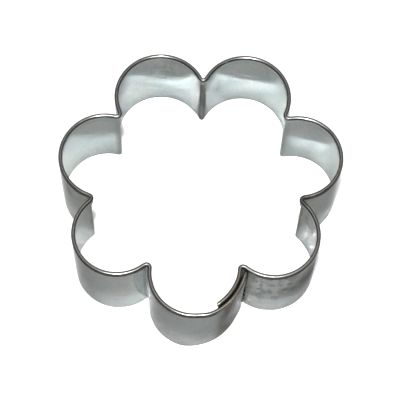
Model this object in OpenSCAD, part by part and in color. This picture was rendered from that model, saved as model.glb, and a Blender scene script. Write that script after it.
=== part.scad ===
// Flower pastry cutter: one hemmed strip of tinplate bent into seven lobes. Its two ends lie
// double in the front lobe and are held there by two spot welds.
// Millimetres. It stands on its cutting edge, X to the right, Y to the back and Z up.

/* [Strip] */
// Height from the cutting edge to the top of the hem
strip_height = 22; // [18:0.5:30]
// Thickness of the sheet
sheet = 0.3; // [0.2:0.05:0.4]
// How far the folded hem reaches down from the top, inside the wall
hem_depth = 2.2; // [1.5:0.1:4]
// Air gap left inside the fold of the hem
hem_gap = 0.15; // [0.1:0.05:0.3]

/* [Flower] */
// Number of lobes
lobe_count = 7; // [6:1:9]
// Distance between the centres of neighbouring lobes
lobe_spacing = 18.5; // [15:0.1:19.3]
// Radius of a lobe, to the middle of the sheet
lobe_radius = 9.8; // [9.3:0.1:11.5]
// Radius of the sharp bend between two lobes, to the middle of the sheet
bend_radius = 0.4; // [0.3:0.05:1]

/* [Lap] */
// Where the inner sheet ends, in degrees round the front lobe from its foremost point
lap_start = 38; // [25:1:45]
// Distance between the two sheets of the lap, middle to middle
lap_offset = 1.1; // [1:0.05:1.4]
// Radius of the outer sheet along the lap, which is flatter than the lobe
lap_radius = 13; // [11:0.5:16]
// Clearance between the end of the outer sheet and the next lobe
end_clearance = 0.4; // [0.2:0.1:1]

/* [Spot welds] */
// Diameter of a weld
weld_d = 2.5; // [1.5:0.1:3.5]
// Height of the lower weld above the cutting edge
lower_weld_height = 5.5; // [3:0.5:6]
// Depth of the upper weld below the top of the hem
upper_weld_depth = 8; // [6.5:0.5:8.5]

/* [Hidden] */
$fn = 144;

// Hand forming leaves the lobes uneven: degrees round, then mm of reach and of radius, given
// for each lobe from the front one, anticlockwise as seen from above
turn_error = [-0.5, 1.5, 2, 0, 0.5, 2, 0];
reach_error = [0.4, -0.9, 0.6, 0.1, -0.5, -0.4, 0.3];
radius_error = [-0.1, 0.1, -0.2, 0.1, 0.2, 0.1, -0.2];

// Cutting shapes reach this far past the strip
spare = 1;
far = 3 * lobe_radius;

function error(list, i) = list[i % len(list)];
function along(a) = [cos(a), sin(a)];
function bearing(v) = atan2(v[1], v[0]);

// Where a circle round p meets a circle round s, on the right of the way from p to s
function meeting(p, rp, s, rs) =
    let(
        apart = norm(s - p),
        way = (s - p) / apart,
        run = (apart ^ 2 + rp ^ 2 - rs ^ 2) / (2 * apart)
    )
    p + way * run + [way[1], -way[0]] * sqrt(rp ^ 2 - run ^ 2);

half = sheet / 2;
lobes = [0:lobe_count - 1];
function next(i) = (i + 1) % lobe_count;
function last(i) = (i + lobe_count - 1) % lobe_count;

// Lobe centres, moved so that the whole flower is centred on the origin
ring_radius = lobe_spacing / (2 * sin(180 / lobe_count));
lobe_r = [for (i = lobes) lobe_radius + error(radius_error, i)];
lobe_turn = [for (i = lobes) 360 * i / lobe_count - 90 + error(turn_error, i)];
raw_p = [for (i = lobes) along(lobe_turn[i]) * (ring_radius + error(reach_error, i))];
low = [for (k = [0, 1]) min([for (i = lobes) raw_p[i][k] - lobe_r[i] - half])];
high = [for (k = [0, 1]) max([for (i = lobes) raw_p[i][k] + lobe_r[i] + half])];
lobe_p = [for (p = raw_p) p - (low + high) / 2];

// The lap: both sheets turn about one centre, behind that of the front lobe
lap_way = along(lobe_turn[0] + lap_start);
lap_p = lobe_p[0] - lap_way * (lap_radius - lobe_r[0]);
inner_r = lap_radius - lap_offset;
outer_corner = meeting(lap_p, lap_radius + half, lobe_p[1], lobe_r[1] + half + end_clearance);

// Bend i joins lobe i to the next one, and the first bend joins the lap's inner sheet to lobe 1
run_p = [for (i = lobes) i == 0 ? lap_p : lobe_p[i]];
run_r = [for (i = lobes) i == 0 ? inner_r : lobe_r[i]];
bend_p = [
    for (i = lobes)
        meeting(run_p[i], run_r[i] + bend_radius, lobe_p[next(i)], lobe_r[next(i)] + bend_radius)
];

// The strip's section, with x = 0 at the middle of the wall and x outwards
fold_r = sheet + hem_gap / 2;
fold_x = -half - hem_gap / 2;
fold_z = strip_height - fold_r;

module section() {
    translate([-half, 0])
        square([sheet, fold_z]);
    translate([fold_x - fold_r, strip_height - hem_depth])
        square([sheet, hem_depth - fold_r]);
    translate([fold_x, fold_z])
        intersection() {
            difference() {
                circle(r = fold_r);
                circle(r = hem_gap / 2);
            }
            translate([-fold_r, 0])
                square([2 * fold_r, fold_r]);
        }
}

// What lies over an outline, through the whole height of the strip
module over(outline) {
    translate([0, 0, -spare])
        linear_extrude(strip_height + 2 * spare)
            polygon(outline);
}

// Moves to p in two steps, the hundredths first, so that neighbouring stretches meet exactly
module place(p) {
    rough = [for (k = [0, 1]) round(p[k] * 100) / 100];
    translate(rough)
        translate(p - rough)
            children();
}

// A stretch of strip that curves round p, with its inner side towards p
module stretch(p, r, outline) {
    intersection() {
        place(p)
            rotate_extrude()
                translate([r, 0])
                    section();
        over(outline);
    }
}

module lobe(i) {
    way = bearing(lobe_p[i]);
    stretch(lobe_p[i], lobe_r[i], [
        lobe_p[i],
        bend_p[last(i)],
        lobe_p[i] + far * along(way - 60),
        lobe_p[i] + far * along(way + 60),
        bend_p[i]
    ]);
}

// The front lobe is cut short where the lap starts
module front_lobe() {
    stretch(lobe_p[0], lobe_r[0], [
        lobe_p[0],
        bend_p[last(0)],
        lobe_p[0] + far * along(lobe_turn[0] - 60),
        lobe_p[0] + far * lap_way
    ]);
}

module outer_sheet() {
    stretch(lap_p, lap_radius, [
        lap_p,
        lobe_p[0],
        lobe_p[0] + far * lap_way,
        lap_p + far * along(bearing(outer_corner - lap_p))
    ]);
}

module inner_sheet() {
    stretch(lap_p, inner_r, [lap_p, lap_p + far * lap_way, bend_p[0]]);
}

// A bend curves the other way, with its outer side towards its own centre
module bend(i) {
    intersection() {
        place(bend_p[i])
            rotate_extrude()
                translate([bend_radius, 0])
                    mirror([1, 0])
                        section();
        over([bend_p[i], run_p[i], lobe_p[next(i)]]);
    }
}

module formed_strip() {
    color("silver") {
        outer_sheet();
        front_lobe();
        for (i = [1:lobe_count - 1])
            lobe(i);
        for (i = lobes)
            bend(i);
        inner_sheet();
    }
}

// A weld fills the space between the two sheets, half way along the lap
module spot_weld(height) {
    middle = bearing(lap_way * norm(outer_corner - lap_p) + outer_corner - lap_p);
    color("dimgray")
        intersection() {
            place(lap_p)
                rotate_extrude()
                    translate([inner_r + half, height - weld_d])
                        square([lap_offset - sheet, 2 * weld_d]);
            place(lap_p)
                translate([0, 0, height])
                    rotate([0, 90, middle])
                        cylinder(d = weld_d, h = lap_radius);
        }
}

module lower_spot_weld() {
    spot_weld(lower_weld_height);
}

module upper_spot_weld() {
    spot_weld(strip_height - upper_weld_depth);
}

formed_strip();
lower_spot_weld();
upper_spot_weld();
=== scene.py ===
"""A seven-lobed pastry cutter of hemmed tinplate, standing on its cutting edge on a white surface."""
import bmesh
import bpy
import math
from mathutils import Matrix, Vector


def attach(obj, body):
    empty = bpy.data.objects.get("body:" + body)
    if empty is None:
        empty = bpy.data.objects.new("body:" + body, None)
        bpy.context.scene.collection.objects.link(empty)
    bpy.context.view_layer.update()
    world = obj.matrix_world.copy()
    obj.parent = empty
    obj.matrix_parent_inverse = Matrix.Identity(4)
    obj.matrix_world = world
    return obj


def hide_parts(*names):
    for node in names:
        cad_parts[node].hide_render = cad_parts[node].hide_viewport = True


MM = 0.001

# The strip and the flower, in millimetres and degrees, as in the solids
STRIP_HEIGHT = 22.0
SHEET = 0.3
HEM_DEPTH = 2.2
HEM_GAP = 0.15
LOBE_COUNT = 7
LOBE_SPACING = 18.5
LOBE_RADIUS = 9.8
BEND_RADIUS = 0.4
LAP_START = 38.0
LAP_OFFSET = 1.1
LAP_RADIUS = 13.0
END_CLEARANCE = 0.4
WELD_D = 2.5
LOWER_WELD_HEIGHT = 5.5
UPPER_WELD_DEPTH = 8.0
TURN_ERROR = (-0.5, 1.5, 2.0, 0.0, 0.5, 2.0, 0.0)
REACH_ERROR = (0.4, -0.9, 0.6, 0.1, -0.5, -0.4, 0.3)
RADIUS_ERROR = (-0.1, 0.1, -0.2, 0.1, 0.2, 0.1, -0.2)

# What hand work adds to the shapes of the solids, in millimetres
BURR = 0.05
FOLD_SWELL = 0.065
SETBACK = 0.03
RIPPLE = 0.025
RIM_LEAN = 0.28
FOOT_LEAN = 0.42
INNER_SPRING = 0.25
FLANGE_SPRING = 0.33
END_ROUNDING = 0.3

# How finely the strip is divided: rows of its section, and steps along it in millimetres
WALL_ROWS = 24
FOLD_ROWS = 16
FLANGE_ROWS = 6
GAP_ROWS = 4
WALL_STEP = 0.35
BEND_STEP = 0.07

# Places in the section: half the sheet, the fold's radius, middle and height, and the flange's foot
HALF = SHEET / 2
FOLD_R = SHEET + HEM_GAP / 2
FOLD_U = -HALF - HEM_GAP / 2
FOLD_Z = STRIP_HEIGHT - FOLD_R
HEM_LOW = STRIP_HEIGHT - HEM_DEPTH

# The camera, fitted to the photograph, in degrees and metres
CAMERA_ELEVATION = 68.6
CAMERA_AZIMUTH = -0.2
CAMERA_ROLL = 2.7
CAMERA_DISTANCE = 0.375
CAMERA_TARGET = Vector((0.0002, 0.0, 0.011))
CAMERA_LENS = 153.3

# The light: a small lamp high in front, under a soft pale ceiling, in degrees, metres and watts.
# The ceiling's edge and middle are cosines of the angle from its brightest direction.
LAMP_ELEVATION = 78.5
LAMP_AZIMUTH = -4
LAMP_DISTANCE = 0.61
LAMP_SIZE = 0.028
LAMP_POWER = 3.2
ROOM_LIGHT = 0.11
CEILING_LIGHT = 0.52
CEILING_WAY = (0.0, 0.34, 0.94)
CEILING_EDGE = 0.6
CEILING_MIDDLE = 0.95

# The floor, with the glow that makes up for the lamp's falloff from FLOOR_NEAR to FLOOR_FAR metres
FLOOR_SIZE = 3.0
FLOOR_WHITE = 0.95
FLOOR_ROUGHNESS = 0.9
FLOOR_SHINE = 0.1
FLOOR_GLOW = 0.26
FLOOR_GLOW_MIRRORED = 0.08
FLOOR_GLOW_FAR = 0.9
FLOOR_NEAR = 0.06
FLOOR_FAR = 0.75

# The tin as the camera sees it, and as light meets it on its way to other surfaces
TIN_INSIDE = (0.280, 0.310, 0.300, 1)
TIN_OUTSIDE = (0.395, 0.418, 0.406, 1)
INSIDE_THROWS = (0.63, 0.67, 0.69, 1)
OUTSIDE_THROWS = (0.82, 0.86, 0.87, 1)
WHITE = (1, 1, 1, 1)

# What the tin mirrors at a grazing angle
EDGE_INSIDE = (0.56, 0.56, 0.56, 1)
EDGE_OUTSIDE = (0.37, 0.37, 0.37, 1)
EDGE_DIRTY = (0.15, 0.15, 0.15, 1)

# Colours of the hem's crown, of wear and painted shade, and of weld metal
CROWN = (0.225, 0.21, 0.19, 1)
CROWN_HEATED = (0.21, 0.175, 0.135, 1)
WARM = (0.115, 0.095, 0.068, 1)
# The dark colour of soiling, and also of painted shade: in the bends, under the hem, beside its fold and
# along the foot
GRIME_AND_SHADE = (0.045, 0.038, 0.028, 1)
RUST = (0.30, 0.235, 0.17, 1)
TARNISH = (0.20, 0.18, 0.145, 1)
SCRATCHED = (0.5, 0.5, 0.5, 1)
GROUND = (0.55, 0.54, 0.50, 1)
COOL = (0.98, 1.0, 1.02, 1)
ROSY = (1.02, 0.995, 0.985, 1)
WELD_BROWN = (0.10, 0.085, 0.075, 1)
WELD_BLUE = (0.06, 0.07, 0.10, 1)
WELD_SPATTER = (0.18, 0.15, 0.12, 1)

# How much each kind of wear, painted shade among them, covers the tin's colour, and how much rougher it
# makes the tin. The outside of the sheet is rougher too, and more so where it is burnt or on the stained
# lobe (matt).
COVER = {"tarnish": 0.6, "stain_and_shade": 0.45, "burnt": 0.9, "dirt_and_shade": 0.88, "marks": 0.18, "scuffs": 0.7}
ROUGHER = {"outer": 0.04, "matt": 0.14, "marks": 0.10, "stain_and_shade": 0.16, "dirt_and_shade": 0.25, "crown": 0.25}
TIN_ROUGHNESS = 0.072
ROUGHNESS_SPREAD = 0.03
# A painted highlight: how much lighter the outside of the wall is below 6 to 9.5 mm
OUTER_PAINTED_HIGHLIGHT = 0.18

# Heights of the tin's waves and depth of its scratches, in millimetres
WAVE_HEIGHT = 0.0002
SCRATCH_DEPTH = 0.0015

# Dark smudged spots on the lobe right of the lap, the broad last one painted shade: degrees round it, height
# and radius in millimetres
SMUDGES_AND_SHADE = (
    (-105.5, 13.5, 0.3),
    (-102.0, 18.8, 0.3),
    (-91.0, 12.5, 0.5),
    (-84.0, 9.5, 0.4),
    (-78.5, 17.0, 0.35),
    (-72.0, 13.5, 0.9),
    (-66.5, 16.5, 0.6),
    (-60.0, 12.0, 1.3),
    (-46.0, 14.0, 1.5),
    # This broad one is painted shade on the lobe's right side
    (-27.0, 11.0, 6.0),
)
STAINED_ANGLE = -72
NICK_ANGLE = -80.5

# How much painted shade darkens each sharp bend, from the one at the lap, anticlockwise
BEND_SHADE = (0.42, 0.5, 0.25, 0.85, 0.25, 0.5, 0.3)


def along(a):
    return Vector((math.cos(math.radians(a)), math.sin(math.radians(a))))


def bearing(v):
    return math.degrees(math.atan2(v.y, v.x))


def meeting(p, rp, s, rs):
    """Where a circle round p meets a circle round s, on the right of the way from p to s."""
    apart = (s - p).length
    way = (s - p) / apart
    run = (apart ** 2 + rp ** 2 - rs ** 2) / (2 * apart)
    return p + way * run + Vector((way.y, -way.x)) * math.sqrt(rp ** 2 - run ** 2)


def smooth(x):
    """Rises softly from 0 at x = 0 to 1 at x = 1."""
    x = min(1.0, max(0.0, x))
    return x * x * (3 - 2 * x)


def rise(x, low, high):
    """Rises softly from 0 at x = low to 1 at x = high."""
    return smooth((x - low) / (high - low))


class Arc:
    """A stretch of the strip's plan: side is 1 where its inner side faces the centre, else -1."""

    def __init__(self, name, centre, radius, start, end, side):
        self.name = name
        self.centre = centre
        self.radius = radius
        self.start = start
        self.end = end
        self.side = side
        self.length = abs(math.radians(end - start)) * radius

    def at(self, t):
        radial = along(self.start + (self.end - self.start) * t)
        return self.centre + radial * self.radius, radial * self.side


def plan():
    """The strip's arcs from its inner end, anticlockwise round the flower, to its outer end."""
    spread = LOBE_SPACING / (2 * math.sin(math.pi / LOBE_COUNT))
    lobes = range(LOBE_COUNT)
    radii = [LOBE_RADIUS + RADIUS_ERROR[i] for i in lobes]
    turns = [360 * i / LOBE_COUNT - 90 + TURN_ERROR[i] for i in lobes]
    raw = [along(turns[i]) * (spread + REACH_ERROR[i]) for i in lobes]
    low = [min(raw[i][k] - radii[i] - HALF for i in lobes) for k in (0, 1)]
    high = [max(raw[i][k] + radii[i] + HALF for i in lobes) for k in (0, 1)]
    shift = Vector((low[0] + high[0], low[1] + high[1])) / 2
    centres = [p - shift for p in raw]
    lap_way = along(turns[0] + LAP_START)
    lap_centre = centres[0] - lap_way * (LAP_RADIUS - radii[0])
    inner_r = LAP_RADIUS - LAP_OFFSET
    corner = meeting(lap_centre, LAP_RADIUS + HALF, centres[1], radii[1] + HALF + END_CLEARANCE)
    runs = [(lap_centre, inner_r)] + [(centres[i], radii[i]) for i in lobes[1:]]
    nexts = [(i + 1) % LOBE_COUNT for i in lobes]
    bends = [
        meeting(runs[i][0], runs[i][1] + BEND_RADIUS, centres[nexts[i]], radii[nexts[i]] + BEND_RADIUS)
        for i in lobes
    ]
    arcs = []

    def turn(name, centre, radius, start, end):
        sweep = (end - start) % 360
        arcs.append(Arc(name, centre, radius, start, start + sweep, 1))

    def bend(i):
        start = bearing(runs[i][0] - bends[i])
        sweep = (start - bearing(centres[nexts[i]] - bends[i])) % 360
        arcs.append(Arc("bend%d" % i, bends[i], BEND_RADIUS, start, start - sweep, -1))

    start = bearing(lap_way)
    turn("inner_sheet", lap_centre, inner_r, start, bearing(bends[0] - lap_centre))
    bend(0)
    for i in lobes[1:]:
        first = bearing(bends[i - 1] - centres[i])
        turn("lobe%d" % i, centres[i], radii[i], first, bearing(bends[i] - centres[i]))
        bend(i)
    turn("front_lobe", centres[0], radii[0], bearing(bends[-1] - centres[0]), start)
    turn("outer_sheet", lap_centre, LAP_RADIUS, start, bearing(corner - lap_centre))
    return arcs


def arc_named(name):
    return next(arc for arc in plan() if arc.name == name)


def bend_arcs():
    """The arcs of the sharp bends, from the one at the lap, anticlockwise."""
    return [arc for arc in plan() if arc.name.startswith("bend")]


def stations(arcs):
    """Points along the strip: place, outward direction, distance along, arc and share of the arc."""
    out = []
    run = 0.0
    for arc in arcs:
        step = BEND_STEP if arc.name.startswith("bend") else WALL_STEP
        count = max(4, round(arc.length / step))
        for k in range(count + (arc is arcs[-1])):
            t = k / count
            place, outward = arc.at(t)
            out.append((place, outward, run + arc.length * t, arc.name, t))
        run += arc.length
    return out


def section():
    """The closed section, from the outer foot over the hem to the inner foot.

    Each point has its place u, z, its side from 0 outside to 1 inside, and 1 on the hem's flange.
    """
    rows = [FOLD_Z * k / WALL_ROWS for k in range(1, WALL_ROWS)]
    pts = [(HALF - BURR, 0.0, 0.5, 0), (HALF, BURR, 0.0, 0)]
    pts += [(HALF, z, 0.0, 0) for z in rows]
    for k in range(FOLD_ROWS + 1):
        a = math.pi * k / FOLD_ROWS
        u = FOLD_U - FOLD_SWELL / 2 + (FOLD_R + FOLD_SWELL) * math.cos(a)
        pts.append((u, FOLD_Z + FOLD_R * math.sin(a), k / FOLD_ROWS, 0))
    left = FOLD_U - FOLD_R
    right = FOLD_U - HEM_GAP / 2
    for k in range(1, FLANGE_ROWS):
        swell = 1.5 * FOLD_SWELL * (1 - rise(k, 0, 4))
        pts.append((left - swell, FOLD_Z - (FOLD_Z - HEM_LOW) * k / FLANGE_ROWS, 1.0, 1))
    pts += [(left, HEM_LOW + BURR, 1.0, 1), (left + BURR, HEM_LOW, 1.0, 1)]
    pts += [(right - BURR, HEM_LOW, 1.0, 1), (right, HEM_LOW + BURR, 1.0, 1)]
    for k in range(GAP_ROWS + 1):
        a = math.pi * (1 - k / GAP_ROWS)
        pts.append((FOLD_U + HEM_GAP / 2 * math.cos(a), FOLD_Z + HEM_GAP / 2 * math.sin(a), 1.0, 0))
    pts += [(-HALF, z, 1.0, 0) for z in reversed(rows)]
    pts += [(-HALF, BURR, 1.0, 0), (-HALF + BURR, 0.0, 0.5, 0)]
    return pts


def lap_lean(z):
    """How far the outer sheet of the lap leans: its rim stands out and its foot is pressed in."""
    up = z / STRIP_HEIGHT
    return RIM_LEAN * smooth(1.4 * up - 0.4) - FOOT_LEAN * (1 - smooth(1.2 * up))


def leaning(name, t, z):
    """How far hand forming pushed the sheet outwards, in millimetres, at share t of an arc."""
    lean = lap_lean(z)
    if name == "outer_sheet":
        return lean if lean > 0 else lean * (1 - 0.7 * rise(t, 0.6, 1.0))
    if name == "front_lobe":
        return lean * (rise(t, 0.75, 0.91) if lean > 0 else rise(t, 0.6, 0.85))
    if name == "inner_sheet":
        return INNER_SPRING * (1 - 0.5 * rise(t, 0.75, 1.0))
    return 0.0


def springing(name, t, z):
    """How far the hem's flange springs open in the lap, until it all but touches the inner sheet."""
    if name != "outer_sheet":
        return 0.0
    ends = rise(t, 0.0, 0.12) * rise(1 - t, 0.0, 0.12)
    return -FLANGE_SPRING * rise(FOLD_Z - z, 0.0, 0.9) * ends


def ripple(s, z):
    """Slow unevenness of the sheet, always inwards so that it stays in the solids' box."""
    slow = math.sin(0.31 * s + 0.9) * math.cos(0.05 * z + 0.3)
    quick = 0.25 * math.sin(0.55 * s + 0.09 * z + 2.0)
    return RIPPLE * (slow + quick - 1.25) - SETBACK


def rounded_end(near, u, z):
    """Draws in the hem close to a cut end of the strip, so that its corners are rounded."""
    if near >= END_ROUNDING or z < HEM_LOW:
        return u, z
    keep = 0.75 + 0.25 * math.sqrt(1 - (1 - near / END_ROUNDING) ** 2)
    return FOLD_U + (u - FOLD_U) * keep, FOLD_Z + (z - FOLD_Z) * keep


def strip_mesh():
    arcs = plan()
    length = sum(arc.length for arc in arcs)
    spots = stations(arcs)
    loop = section()
    n = len(loop)
    verts, runs, sides, faces = [], [], [], []
    for place, outward, s, name, t in spots:
        calm = 0.0 if name.startswith("bend") else 1.0
        for u, z, inner, flange in loop:
            u, z = rounded_end(min(s, length - s), u, z)
            u += leaning(name, t, z) + springing(name, t, z) * flange
            p = place + outward * (u + ripple(s, z) * calm)
            verts.append((p.x * MM, p.y * MM, z * MM))
            runs.append(s)
            sides.append(inner)
    for i in range(len(spots) - 1):
        for k in range(n):
            m = (k + 1) % n
            faces.append((i * n + k, (i + 1) * n + k, (i + 1) * n + m, i * n + m))
    faces.append(tuple(range(n)))
    faces.append(tuple((len(spots) - 1) * n + k for k in reversed(range(n))))
    mesh = bpy.data.meshes.new("strip")
    mesh.from_pydata(verts, [], faces)
    layer = mesh.uv_layers.new(name="strip_run")
    for corner in mesh.loops:
        v = corner.vertex_index
        layer.data[corner.index].uv = (runs[v] * MM, verts[v][2])
    inner = mesh.attributes.new("inner", "FLOAT", "POINT")
    for v, side in enumerate(sides):
        inner.data[v].value = side
    finish_mesh(mesh, angle=40)
    return mesh


def weld_mesh(height):
    """A nugget of weld metal, sunk a little into both leaning sheets of the lap.

    It is three layers of rings, with a bulge at the rim of the middle layer.
    """
    lap = arc_named("outer_sheet")
    middle = (lap.start + lap.end) / 2
    start = arc_named("inner_sheet").radius + HALF + INNER_SPRING - 2 * SETBACK
    rings, spokes, core = 6, 36, 0.4
    bulge, waviness = 0.06, 0.03
    verts, faces = [], []
    for layer in range(3):
        for k in range(rings):
            r = WELD_D / 2 * (k + core) / (rings - 1 + core)
            if layer == 1 and k == rings - 1:
                r *= 1 + bulge
            for j in range(spokes):
                a = 2 * math.pi * j / spokes
                edge = r * (1 + waviness * math.sin(3 * a + height))
                z = height + edge * math.sin(a)
                turn = middle + math.degrees(edge * math.cos(a) / LAP_RADIUS)
                t = (turn - lap.start) / (lap.end - lap.start)
                end = LAP_RADIUS - HALF + leaning("outer_sheet", t, z) - SETBACK
                p = lap.centre + along(turn) * (start + (end - start) * layer / 2)
                verts.append((p.x * MM, p.y * MM, z * MM))
    size = rings * spokes
    rim = size - spokes
    for layer in (0, 2):
        for k in range(rings - 1):
            faces += ring_faces(layer * size + k * spokes, spokes, spokes)
        faces.append(tuple(layer * size + j for j in range(spokes)))
    for layer in (0, 1):
        faces += ring_faces(layer * size + rim, spokes, size)
    mesh = bpy.data.meshes.new("nugget")
    mesh.from_pydata(verts, [], faces)
    finish_mesh(mesh, angle=50)
    return mesh


def ring_faces(first, count, step):
    """Faces between the ring of points that begins at first and the one that is step points on."""
    pairs = [(first + j, first + (j + 1) % count) for j in range(count)]
    return [(a, b, b + step, a + step) for a, b in pairs]


def finish_mesh(mesh, angle):
    """Drops unused points, turns faces outwards, and smooths all but edges of more than angle degrees."""
    bm = bmesh.new()
    bm.from_mesh(mesh)
    bmesh.ops.delete(bm, geom=[v for v in bm.verts if not v.link_faces], context="VERTS")
    bmesh.ops.recalc_face_normals(bm, faces=bm.faces)
    for edge in bm.edges:
        if len(edge.link_faces) == 2 and edge.calc_face_angle() > math.radians(angle):
            edge.smooth = False
    bm.to_mesh(mesh)
    bm.free()
    mesh.shade_smooth()
    mesh.update()


def add_object(name, data):
    obj = bpy.data.objects.new(name, data)
    bpy.context.scene.collection.objects.link(obj)
    return obj


class Graph:
    """Builds a material in few words. An input is a constant or another node's output."""

    def __init__(self, name):
        self.material = bpy.data.materials.new(name)
        self.material.use_nodes = True
        self.tree = self.material.node_tree
        self.shader = self.tree.nodes["Principled BSDF"]

    def put(self, socket, value):
        if isinstance(value, bpy.types.NodeSocket):
            self.tree.links.new(value, socket)
        else:
            socket.default_value = value

    def node(self, kind, inputs=None, **settings):
        made = self.tree.nodes.new("ShaderNode" + kind)
        for key, value in settings.items():
            setattr(made, key, value)
        for key, value in (inputs or {}).items():
            self.put(made.inputs[key], value)
        return made

    def math(self, operation, a, b=0.0, c=0.0):
        return self.node("Math", {0: a, 1: b, 2: c}, operation=operation).outputs[0]

    def product(self, *values):
        out = values[0]
        for value in values[1:]:
            out = self.math("MULTIPLY", out, value)
        return out

    def largest(self, *values):
        out = values[0]
        for value in values[1:]:
            out = self.math("MAXIMUM", out, value)
        return out

    def ramp(self, value, low, high, to_low=0.0, to_high=1.0):
        """A soft step: to_low up to low, and to_high from high on."""
        inputs = {"Value": value, "From Min": low, "From Max": high, "To Min": to_low, "To Max": to_high}
        return self.node("MapRange", inputs, interpolation_type="SMOOTHSTEP").outputs["Result"]

    def band(self, value, middle, width):
        """1 where the value is middle, and 0 further than width from it."""
        return self.ramp(self.math("ABSOLUTE", self.math("SUBTRACT", value, middle)), 0.0, width, 1.0, 0.0)

    def mix(self, factor, a, b, blend="MIX"):
        """Colour a with b over it. A Mix node's colours are its inputs 6 and 7 and its output 2."""
        made = self.node("Mix", {0: factor, 6: a, 7: b}, data_type="RGBA", blend_type=blend)
        return made.outputs[2]

    def noise(self, at, size, seed, detail=2.0, rough=0.5, turn=0.0):
        """Noise with features of a size along the strip and up it, in the units of at."""
        inputs = {"Vector": at, "Location": (seed, 0, seed), "Scale": (*size, 1), "Rotation": (0, 0, turn)}
        place = self.node("Mapping", inputs, vector_type="TEXTURE").outputs["Vector"]
        inputs = {"Vector": place, "Scale": 1.0, "Detail": detail, "Roughness": rough}
        return self.node("TexNoise", inputs).outputs[0]

    def near(self, spot, radius, soft, upright=False):
        """1 within radius of a place in millimetres, or of a line up through it, 0 beyond radius + soft."""
        where = self.node("TexCoord").outputs["Object"]
        if upright:
            spot = (spot[0], spot[1], 0)
            where = self.node("VectorMath", {0: where, 1: (1, 1, 0)}, operation="MULTIPLY").outputs["Vector"]
        apart = self.node("VectorMath", {0: where, 1: Vector(spot) * MM}, operation="DISTANCE")
        return self.ramp(apart.outputs["Value"], radius * MM, (radius + soft) * MM, 1.0, 0.0)


def smudges_and_shade(g):
    """Dark marks at fixed places on the lobe right of the lap; the broad last one is painted shade."""
    lobe = arc_named("lobe1")
    spots = []
    for angle, z, radius in SMUDGES_AND_SHADE:
        p = lobe.centre + along(angle) * (lobe.radius + HALF)
        spots.append(g.near((p.x, p.y, z), radius * 0.3, radius * 1.6))
    return g.largest(*spots)


def lap_spot(height):
    """The place of a spot weld, at the outside of the lap."""
    p, _ = arc_named("outer_sheet").at(0.5)
    return (p.x, p.y, height)


def sheet_shade(g, at, z, outer):
    """Clouds, mottling and grain of the tin, rolling marks along it, and a painted highlight low on the
    outside of the wall.
    """
    clouds = g.ramp(g.noise(at, (7, 6), 1, 3.0), 0.25, 0.75, 0.94, 1.06)
    mottle = g.ramp(g.noise(at, (0.8, 1.1), 2, 4.0, 0.65), 0.25, 0.75, 0.92, 1.08)
    grain = g.ramp(g.noise(at, (0.25, 0.45), 4, 2.0, 0.6), 0.3, 0.7, 0.89, 1.11)
    rolling = g.ramp(g.noise(at, (18, 0.28), 3, 3.0, 0.6), 0.25, 0.75, 0.95, 1.05)
    # Painted highlight: the outside of the wall is lighter below 6 to 9.5 mm
    painted_highlight = g.product(g.ramp(z, 6.0, 9.5, 1.0, 0.0), outer, OUTER_PAINTED_HIGHLIGHT)
    return g.product(clouds, mottle, grain, rolling, g.math("ADD", painted_highlight, 1.0))


def scratches(g, at, turn, seed):
    """Thin straight marks in patches."""
    line = g.band(g.noise(at, (14, 0.7), seed, 1.0, 0.4, turn), 0.5, 0.012)
    patch = g.ramp(g.noise(at, (5, 5), seed + 3), 0.5, 0.62)
    return g.product(line, patch)


def stained_lobe(g):
    """1 on the outer front of the lobe right of the lap, fading out beyond it."""
    lobe = arc_named("lobe1")
    spot = lobe.centre + along(STAINED_ANGLE) * lobe.radius
    return g.near(spot, 7, 4, upright=True)


def stains(g, at, z):
    """Dried water marks: faint blotches with a darker outline, heaviest on the lobe right of the lap, where
    a broad painted shade darkens its right side too.
    """
    blot = g.noise(at, (1.6, 3.6), 11, 4.0, 0.6)
    fill = g.ramp(blot, 0.50, 0.62)
    outline = g.band(blot, 0.55, 0.03)
    blots = g.math("MULTIPLY_ADD", outline, 0.4, g.product(fill, 0.6))
    patch = g.ramp(g.noise(at, (12, 10), 12), 0.5, 0.66, 0.0, 0.6)
    worst = g.product(stained_lobe(g), g.ramp(z, 5, 13, 0.25, 1.0))
    # The marks at fixed places bring in the painted shade on the lobe's right side
    return g.largest(g.product(blots, g.largest(worst, patch)), g.product(smudges_and_shade(g), worst))


def nick(g):
    """A dark nick in the foot of the front lobe."""
    lobe = arc_named("front_lobe")
    p = lobe.centre + along(NICK_ANGLE) * (lobe.radius + HALF)
    return g.near((p.x, p.y, 0.2), 0.25, 0.75)


def crushed(g):
    """Where the hem's crown is darkened, at the bends on the flower's two sides."""
    right = g.near((*arc_named("bend1").centre, STRIP_HEIGHT), 1.0, 0.9)
    left = g.near((*arc_named("bend5").centre, STRIP_HEIGHT), 0.6, 0.9)
    return g.largest(g.product(right, 0.9), g.product(left, 0.5))


def specks(g, at):
    """Small dark pits in the tin."""
    cells = g.node("TexVoronoi", {"Vector": at, "Scale": 0.9, "Randomness": 1.0})
    dot = g.ramp(cells.outputs["Distance"], 0.06, 0.11, 1.0, 0.0)
    few = g.ramp(g.node("SeparateColor", {0: cells.outputs["Color"]}).outputs[0], 0.72, 0.74)
    return g.product(dot, few)


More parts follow.
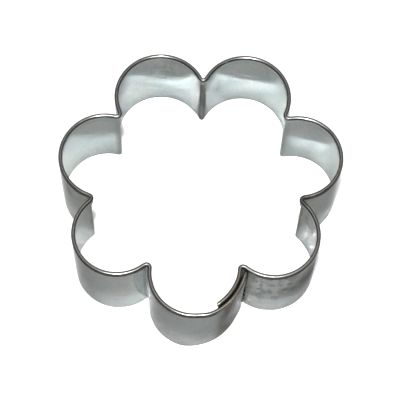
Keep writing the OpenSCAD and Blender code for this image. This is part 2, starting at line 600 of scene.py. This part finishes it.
def hem_and_foot_shade(g, at, z, inner):
    """Painted shade, uneven, under the hem's flange and along both sides of its fold, and a painted contact
    shadow along the foot.
    """
    uneven = g.ramp(g.noise(at, (2.5, 0.8), 21, 3.0), 0.3, 0.7, 0.75, 1.0)
    # Painted shade under the hem's flange, on the inner side
    flange = g.product(g.band(z, HEM_LOW - 0.12, 0.42), inner)
    # Painted shade along both sides of the fold, down from just under it
    sides = g.ramp(g.math("ABSOLUTE", g.math("SUBTRACT", inner, 0.5)), 0.16, 0.28)
    reach = g.math("MULTIPLY_ADD", inner, 0.5, FOLD_Z - 0.95)
    lines = g.product(g.ramp(g.math("SUBTRACT", z, reach), 0.0, 0.6), sides)
    # Painted contact shadow along the foot
    foot = g.product(g.ramp(z, 0.1, 0.7, 1.0, 0.0), 0.8)
    return g.product(g.largest(flange, lines, foot), uneven)


def bend_shade(g, at):
    """Painted shade in the sharp bends, a narrow band and a wide soft one, uneven, more in some than in
    others.
    """
    spots = []
    # Painted shade round each bend, as a narrow and a wide darkening
    for arc, share in zip(bend_arcs(), BEND_SHADE):
        narrow = g.near(arc.centre, 0.6, 0.35, upright=True)
        wide = g.product(g.near(arc.centre, 0.6, 3.5, upright=True), 0.3)
        spots.append(g.product(g.largest(narrow, wide), share))
    return g.product(g.largest(*spots), g.ramp(g.noise(at, (1.5, 5), 31, 3.0), 0.35, 0.65, 0.6, 1.0))


def tarnish(g, at, z):
    """Brown tarnish on the upper half of the sheet, round the bends at the flower's two sides."""
    left = g.near(arc_named("bend5").centre, 0.5, 6.0, upright=True)
    right = g.near(arc_named("bend1").centre, 0.5, 7.5, upright=True)
    spots = g.largest(g.product(left, 0.7), right)
    uneven = g.ramp(g.noise(at, (2.5, 3.5), 35, 4.0, 0.6), 0.3, 0.7, 0.4, 1.0)
    return g.product(spots, g.ramp(z, 4, 13), uneven)


def heat(g, at):
    """The brown tint that welding left round the lap, strongest at the welds, weak on the next lobe."""
    lap = g.product(g.near(lap_spot(0), 3.4, 3.4, upright=True), 0.8)
    low = g.near(lap_spot(LOWER_WELD_HEIGHT), 0.9, 2.6)
    high = g.near(lap_spot(STRIP_HEIGHT - UPPER_WELD_DEPTH), 0.9, 2.6)
    lobe = arc_named("lobe1")
    spared = g.near(lobe.centre, lobe.radius + 0.2, 0.3, upright=True)
    uneven = g.ramp(g.noise(at, (1.8, 2.6), 41, 4.0, 0.6), 0.3, 0.7, 0.6, 1.0)
    return g.product(g.largest(lap, low, high), g.math("MULTIPLY_ADD", spared, -0.5, 1.0), uneven)


def scuffs(g, at):
    """Bright slanting scratches over the outside of the lap, from grinding the welds down."""
    line = g.band(g.noise(at, (3.0, 0.35), 45, 2.0, 0.5, 0.9), 0.52, 0.08)
    patch = g.ramp(g.noise(at, (2.5, 3.5), 46), 0.42, 0.58)
    return g.product(line, patch, g.near(lap_spot(0), 4.5, 3.0, upright=True))


def wear(g, at, z, inner, outer):
    """The masks of all that marks the tin, and of its painted shade, by name."""
    fold = g.product(g.ramp(z, FOLD_Z, FOLD_Z + 0.15), g.band(inner, 0.5, 0.30))
    # Painted shade in the bends
    in_bends = g.product(bend_shade(g, at), 0.7)
    in_pits = g.product(specks(g, at), 0.6)
    burnt = heat(g, at)
    return {
        "outer": outer,
        "crown": g.product(fold, g.ramp(g.noise(at, (3, 1), 91, 3.0), 0.3, 0.7, 0.6, 1.0)),
        "marks": g.largest(scratches(g, at, 0.35, 51), scratches(g, at, -0.9, 61)),
        "stain_and_shade": stains(g, at, z),
        # Painted shade under the hem, beside its fold, along the foot and in the bends, with pits and a nick
        "dirt_and_shade": g.largest(hem_and_foot_shade(g, at, z, inner), in_bends, in_pits, nick(g)),
        "tarnish": tarnish(g, at, z),
        "burnt": burnt,
        "scuffs": g.product(scuffs(g, at), outer),
        "matt": g.largest(burnt, g.product(stained_lobe(g), outer)),
    }


def tin_colour(g, at, z, inner, masks, camera_sees):
    """Grey tin for the camera, brighter tin for other rays, and the wear and painted shade that cover them.
    """

    def cover(kind, colour, by):
        return g.mix(g.product(masks[kind], COVER[kind]), colour, by)

    colour = g.mix(inner, TIN_OUTSIDE, TIN_INSIDE)
    colour = g.mix(1.0, colour, sheet_shade(g, at, z, masks["outer"]), "MULTIPLY")
    hue = g.mix(g.ramp(g.noise(at, (8, 6), 15, 2.0), 0.35, 0.65), COOL, ROSY)
    colour = g.mix(1.0, colour, hue, "MULTIPLY")
    colour = cover("tarnish", colour, TARNISH)
    colour = g.mix(camera_sees, g.mix(inner, OUTSIDE_THROWS, INSIDE_THROWS), colour)
    # Stains, with the painted shade on the lobe right of the lap
    colour = cover("stain_and_shade", colour, GRIME_AND_SHADE)
    colour = cover("burnt", colour, WARM)
    # Soiling and painted shade, rusty where burnt
    colour = cover("dirt_and_shade", colour, g.mix(masks["burnt"], GRIME_AND_SHADE, RUST))
    # The crown, darkened at the bends on the flower's two sides
    hem = g.mix(crushed(g), g.mix(masks["burnt"], CROWN, CROWN_HEATED), GRIME_AND_SHADE)
    colour = g.mix(masks["crown"], colour, hem)
    colour = cover("marks", colour, SCRATCHED)
    return cover("scuffs", colour, GROUND)


def tin_edge(g, inner, masks, camera_sees):
    """What the tin mirrors at a grazing angle: less for the camera, least where it is dirty, burnt, stained
    or painted with shade.
    """
    dull = g.largest(masks["dirt_and_shade"], masks["burnt"], masks["stain_and_shade"])
    edge = g.mix(dull, g.mix(inner, EDGE_OUTSIDE, EDGE_INSIDE), EDGE_DIRTY)
    return g.mix(camera_sees, WHITE, edge)


def tin_roughness(g, at, masks):
    low, high = TIN_ROUGHNESS - ROUGHNESS_SPREAD, TIN_ROUGHNESS + ROUGHNESS_SPREAD
    rough = g.ramp(g.noise(at, (7, 7), 71, 4.0), 0.25, 0.75, low, high)
    for kind, more in ROUGHER.items():
        rough = g.math("MULTIPLY_ADD", masks[kind], more, rough)
    return rough


def bumps(g, height):
    """The normal of a surface whose height is given in metres."""
    return g.node("Bump", {"Height": height, "Distance": 1.0, "Strength": 1.0}).outputs["Normal"]


def metal(g, colour, roughness, normal):
    """Makes the material a metal."""
    g.put(g.shader.inputs["Metallic"], 1.0)
    g.put(g.shader.inputs["Base Color"], colour)
    g.put(g.shader.inputs["Roughness"], roughness)
    g.put(g.shader.inputs["Normal"], normal)


def tinplate():
    g = Graph("tinplate")
    uv = g.node("UVMap", uv_map="strip_run").outputs["UV"]
    inner = g.node("Attribute", attribute_name="inner").outputs["Fac"]
    outer = g.math("SUBTRACT", 1.0, inner)
    mm = g.node("VectorMath", {0: uv, "Scale": 1 / MM}, operation="SCALE").outputs["Vector"]
    z = g.node("SeparateXYZ", {0: mm}).outputs["Y"]
    apart = g.node("CombineXYZ", {2: g.product(inner, 4.0)}).outputs["Vector"]
    at = g.node("VectorMath", {0: mm, 1: apart}, operation="ADD").outputs["Vector"]
    camera_sees = g.node("LightPath").outputs["Is Camera Ray"]
    masks = wear(g, at, z, inner, outer)
    waves = g.noise(at, (0.5, 0.35), 81, 2.0)
    height = g.math("MULTIPLY_ADD", waves, WAVE_HEIGHT * MM, g.product(masks["marks"], -SCRATCH_DEPTH * MM))
    colour = tin_colour(g, at, z, inner, masks, camera_sees)
    metal(g, colour, tin_roughness(g, at, masks), bumps(g, height))
    g.put(g.shader.inputs["Specular Tint"], tin_edge(g, inner, masks, camera_sees))
    return g.material


def weld_metal():
    g = Graph("weld_metal")
    where = g.node("TexCoord").outputs["Object"]
    at = g.node("VectorMath", {0: where, "Scale": 1 / MM}, operation="SCALE").outputs["Vector"]
    spatter = g.noise(at, (0.5, 0.5), 5, 4.0, 0.6)
    tint = g.noise(at, (1.4, 1.4), 8, 2.0)
    colour = g.mix(g.ramp(tint, 0.35, 0.65), WELD_BROWN, WELD_BLUE)
    colour = g.mix(g.ramp(spatter, 0.4, 0.7), colour, WELD_SPATTER)
    metal(g, colour, g.ramp(spatter, 0.3, 0.7, 0.38, 0.6), bumps(g, g.product(spatter, 0.03 * MM)))
    return g.material


def floor():
    mesh = bpy.data.meshes.new("floor")
    corners = [(x * FLOOR_SIZE, y * FLOOR_SIZE, 0) for x, y in ((-1, -1), (1, -1), (1, 1), (-1, 1))]
    mesh.from_pydata(corners, [], [(0, 1, 2, 3)])
    g = Graph("floor")
    g.put(g.shader.inputs["Base Color"], (FLOOR_WHITE, FLOOR_WHITE, FLOOR_WHITE, 1))
    g.put(g.shader.inputs["Roughness"], FLOOR_ROUGHNESS)
    g.put(g.shader.inputs["Specular IOR Level"], FLOOR_SHINE)
    ray = g.node("LightPath").outputs
    where = g.node("TexCoord").outputs["Object"]
    away = g.node("VectorMath", {0: where}, operation="LENGTH").outputs["Value"]
    seen = g.ramp(away, FLOOR_NEAR, FLOOR_FAR, FLOOR_GLOW, FLOOR_GLOW_FAR)
    mirrored = g.ramp(away, FLOOR_NEAR, FLOOR_FAR, FLOOR_GLOW_MIRRORED, FLOOR_GLOW_FAR)
    mirrored = g.product(g.largest(ray["Is Glossy Ray"], ray["Is Transmission Ray"]), mirrored)
    strength = g.largest(g.product(ray["Is Camera Ray"], seen), mirrored)
    glow = g.node("Emission", {"Color": WHITE, "Strength": strength})
    both = g.node("AddShader", {0: g.shader.outputs["BSDF"], 1: glow.outputs["Emission"]})
    g.put(g.tree.nodes["Material Output"].inputs["Surface"], both.outputs["Shader"])
    g.material.cycles.emission_sampling = "NONE"
    mesh.materials.append(g.material)
    add_object("floor", mesh)


def way_towards(elevation, azimuth):
    """The direction at an elevation, and at an azimuth that is 0 in front, in degrees."""
    e, a = math.radians(elevation), math.radians(azimuth)
    return Vector((math.sin(a) * math.cos(e), -math.cos(a) * math.cos(e), math.sin(e)))


def lamp():
    data = bpy.data.lights.new("key", "AREA")
    data.shape = "DISK"
    data.size = LAMP_SIZE
    data.energy = LAMP_POWER
    obj = add_object("key", data)
    way = way_towards(LAMP_ELEVATION, LAMP_AZIMUTH)
    obj.location = way * LAMP_DISTANCE
    obj.rotation_euler = way.to_track_quat("Z", "Y").to_euler()


def ceiling():
    """A world that is dim at the sides and brighter overhead."""
    made = bpy.data.worlds.new("studio")
    bpy.context.scene.world = made
    made.use_nodes = True
    nodes, links = made.node_tree.nodes, made.node_tree.links
    where = nodes.new("ShaderNodeTexCoord")
    dot = nodes.new("ShaderNodeVectorMath")
    dot.operation = "DOT_PRODUCT"
    dot.inputs[1].default_value = CEILING_WAY
    links.new(where.outputs["Generated"], dot.inputs[0])
    ramp = nodes.new("ShaderNodeMapRange")
    ramp.interpolation_type = "SMOOTHSTEP"
    ramp.inputs["From Min"].default_value = CEILING_EDGE
    ramp.inputs["From Max"].default_value = CEILING_MIDDLE
    ramp.inputs["To Min"].default_value = ROOM_LIGHT
    ramp.inputs["To Max"].default_value = CEILING_LIGHT
    links.new(dot.outputs["Value"], ramp.inputs["Value"])
    background = nodes["Background"]
    background.inputs["Color"].default_value = WHITE
    links.new(ramp.outputs["Result"], background.inputs["Strength"])


def camera():
    data = bpy.data.cameras.new("camera")
    data.lens = CAMERA_LENS
    data.clip_start = 0.01
    obj = add_object("camera", data)
    back = way_towards(CAMERA_ELEVATION, CAMERA_AZIMUTH)
    right = Vector((*along(CAMERA_AZIMUTH), 0))
    up = back.cross(right)
    c, s = along(CAMERA_ROLL)
    right, up = right * c + up * s, up * c - right * s
    turn = Matrix((right, up, back)).transposed()
    obj.matrix_world = Matrix.Translation(CAMERA_TARGET + back * CAMERA_DISTANCE) @ turn.to_4x4()
    bpy.context.scene.camera = obj


def dress(piece, node, material):
    piece.data.materials.append(material)
    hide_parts(node)
    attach(piece, "root")


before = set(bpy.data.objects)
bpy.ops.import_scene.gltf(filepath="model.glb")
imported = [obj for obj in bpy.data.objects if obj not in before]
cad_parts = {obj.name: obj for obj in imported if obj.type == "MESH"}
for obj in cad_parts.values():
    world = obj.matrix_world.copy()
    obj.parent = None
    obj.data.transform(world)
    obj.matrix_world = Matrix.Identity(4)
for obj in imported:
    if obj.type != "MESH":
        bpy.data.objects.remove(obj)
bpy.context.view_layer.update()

dress(add_object("tinplate_strip", strip_mesh()), "formed_strip", tinplate())
nugget = weld_metal()
dress(add_object("lower_nugget", weld_mesh(LOWER_WELD_HEIGHT)), "lower_spot_weld", nugget)
upper = weld_mesh(STRIP_HEIGHT - UPPER_WELD_DEPTH)
dress(add_object("upper_nugget", upper), "upper_spot_weld", nugget)

floor()
lamp()
ceiling()
camera()

scene = bpy.context.scene
scene.view_settings.view_transform = "Standard"
# Light that the tin throws back onto the floor isn't blurred or clipped
scene.cycles.blur_glossy = 0
scene.cycles.sample_clamp_indirect = 0
scene.cycles.use_guiding = True
